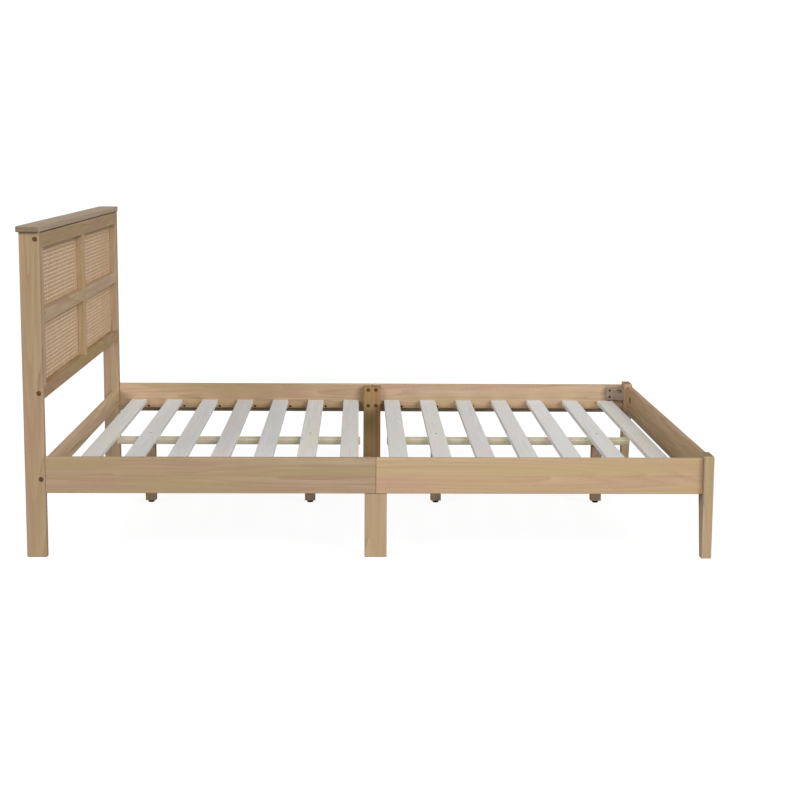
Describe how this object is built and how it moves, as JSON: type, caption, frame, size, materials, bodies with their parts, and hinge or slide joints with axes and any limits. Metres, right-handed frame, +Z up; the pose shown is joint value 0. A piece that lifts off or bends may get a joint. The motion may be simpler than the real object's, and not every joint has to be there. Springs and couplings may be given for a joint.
{
  "type": "bed frame",
  "caption": "Wooden platform bed frame with slats, a central support beam and a headboard of woven cane windows under a cap board.",
  "frame": {"origin": "on the floor, under the middle of the whole bed frame", "axes": "+X from the headboard to the foot, +Y to the right seen from the foot, +Z up"},
  "size_m": [2.142, 1.656, 1.024],
  "materials": {
    "frame_wood": "clear satin lacquer on light solid wood",
    "slat_wood": "pale grey-white planed wood",
    "cane": "natural woven cane",
    "bronzed_steel": "dark bronzed",
    "zinc_steel": "zinc plated",
    "dowel_wood": "plain beech",
    "black_plastic": "black"
  },
  "bodies": {
    "frame": {"cane_beads": "frame_wood", "cane_lower_left": "cane", "cane_lower_right": "cane", "cane_upper_left": "cane", "cane_upper_right": "cane", "centre_leg_1": "frame_wood", "centre_leg_2": "frame_wood", "centre_leg_3": "frame_wood", "centre_leg_4": "frame_wood", "connector_bolts": "bronzed_steel", "cross_nuts": "zinc_steel", "dowels": "dowel_wood", "foot_centre_beam": "frame_wood", "foot_rail": "frame_wood", "head_centre_beam": "frame_wood", "head_rail": "frame_wood", "headboard_bottom_rail": "frame_wood", "headboard_cap": "frame_wood", "headboard_left_middle_rail": "frame_wood", "headboard_left_stile": "frame_wood", "headboard_muntin": "frame_wood", "headboard_right_middle_rail": "frame_wood", "headboard_right_stile": "frame_wood", "headboard_top_rail": "frame_wood", "left_corner_block": "frame_wood", "left_foot_ledger": "frame_wood", "left_foot_leg": "frame_wood", "left_foot_side_rail": "frame_wood", "left_head_ledger": "frame_wood", "left_head_side_rail": "frame_wood", "left_headboard_post": "frame_wood", "left_middle_leg": "frame_wood", "right_corner_block": "frame_wood", "right_foot_ledger": "frame_wood", "right_foot_leg": "frame_wood", "right_foot_side_rail": "frame_wood", "right_head_ledger": "frame_wood", "right_head_side_rail": "frame_wood", "right_headboard_post": "frame_wood", "right_middle_leg": "frame_wood", "slat_01": "slat_wood", "slat_02": "slat_wood", "slat_03": "slat_wood", "slat_04": "slat_wood", "slat_05": "slat_wood", "slat_06": "slat_wood", "slat_07": "slat_wood", "slat_08": "slat_wood", "slat_09": "slat_wood", "slat_10": "slat_wood", "slat_11": "slat_wood", "slat_12": "slat_wood", "slat_13": "slat_wood", "slat_14": "slat_wood", "threaded_inserts": "zinc_steel", "wood_screws": "bronzed_steel"},
    "glide_1": {"levelling_glide_1": "black_plastic"},
    "glide_2": {"levelling_glide_2": "black_plastic"},
    "glide_3": {"levelling_glide_3": "black_plastic"},
    "glide_4": {"levelling_glide_4": "black_plastic"}
  },
  "joints": [
    {"name": "glide_1_height", "type": "slide", "parent": "frame", "child": "glide_1", "axis": [0, 0, 1], "range_m": [-0.01, 0.0015]},
    {"name": "glide_2_height", "type": "slide", "parent": "frame", "child": "glide_2", "axis": [0, 0, 1], "range_m": [-0.01, 0.0015]},
    {"name": "glide_3_height", "type": "slide", "parent": "frame", "child": "glide_3", "axis": [0, 0, 1], "range_m": [-0.01, 0.0015]},
    {"name": "glide_4_height", "type": "slide", "parent": "frame", "child": "glide_4", "axis": [0, 0, 1], "range_m": [-0.01, 0.0015]}
  ]
}
